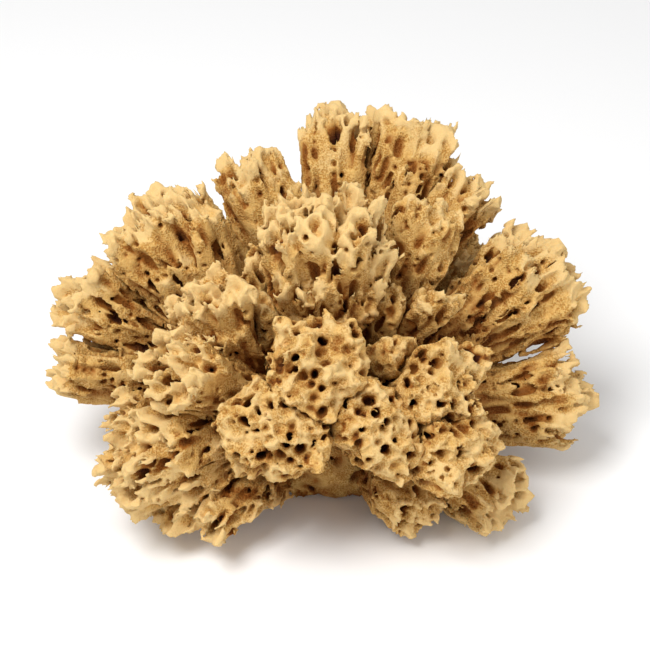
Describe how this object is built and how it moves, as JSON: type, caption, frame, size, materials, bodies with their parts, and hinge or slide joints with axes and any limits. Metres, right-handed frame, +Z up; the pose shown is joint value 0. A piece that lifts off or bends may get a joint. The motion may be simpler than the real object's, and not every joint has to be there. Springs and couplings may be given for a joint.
{
  "type": "sea sponge",
  "caption": "Dried sea sponge: fan-shaped lobes with toothed crowns and deep canals fork from one base, which is cut flat so that it rests.",
  "frame": {"origin": "middle of the flat cut under the base", "axes": "+Z up, +X to the right along the widest spread of the lobes, and the front, where the lobes stand closest together, faces -Y"},
  "size_m": [0.2983, 0.254, 0.1779],
  "materials": {
    "base_fibre": "matt",
    "sponge_fibre": "matt"
  },
  "bodies": {
    "root": {"base": "base_fibre", "lobe_crown": "sponge_fibre", "lobe_back_left": "sponge_fibre", "lobe_back_centre": "sponge_fibre", "lobe_back_right": "sponge_fibre", "lobe_right_rear": "sponge_fibre", "lobe_right_rear_low": "sponge_fibre", "lobe_right_high": "sponge_fibre", "lobe_left_high": "sponge_fibre", "lobe_left_high_rear": "sponge_fibre", "lobe_left_inner": "sponge_fibre", "lobe_left_low_upper": "sponge_fibre", "lobe_left_low": "sponge_fibre", "lobe_front_left": "sponge_fibre", "lobe_front_left_upper": "sponge_fibre", "lobe_front_left_under": "sponge_fibre", "lobe_front_left_face": "sponge_fibre", "lobe_front_centre": "sponge_fibre", "lobe_front_right_inner": "sponge_fibre", "lobe_front_right_upper": "sponge_fibre", "lobe_front_right_lower": "sponge_fibre", "lobe_right_upper": "sponge_fibre", "lobe_right_lower": "sponge_fibre", "lobe_foot_right": "sponge_fibre", "lobe_foot_right_outer": "sponge_fibre", "bud_right_back": "sponge_fibre", "bud_right_outer": "sponge_fibre", "bud_right_front": "sponge_fibre", "bud_left_back": "sponge_fibre", "bud_left_front": "sponge_fibre", "lobe_rear_left": "sponge_fibre", "lobe_rear_centre": "sponge_fibre", "lobe_rear_right": "sponge_fibre", "lobe_rear_left_low": "sponge_fibre", "lobe_rear_right_low": "sponge_fibre"}
  },
  "joints": []
}
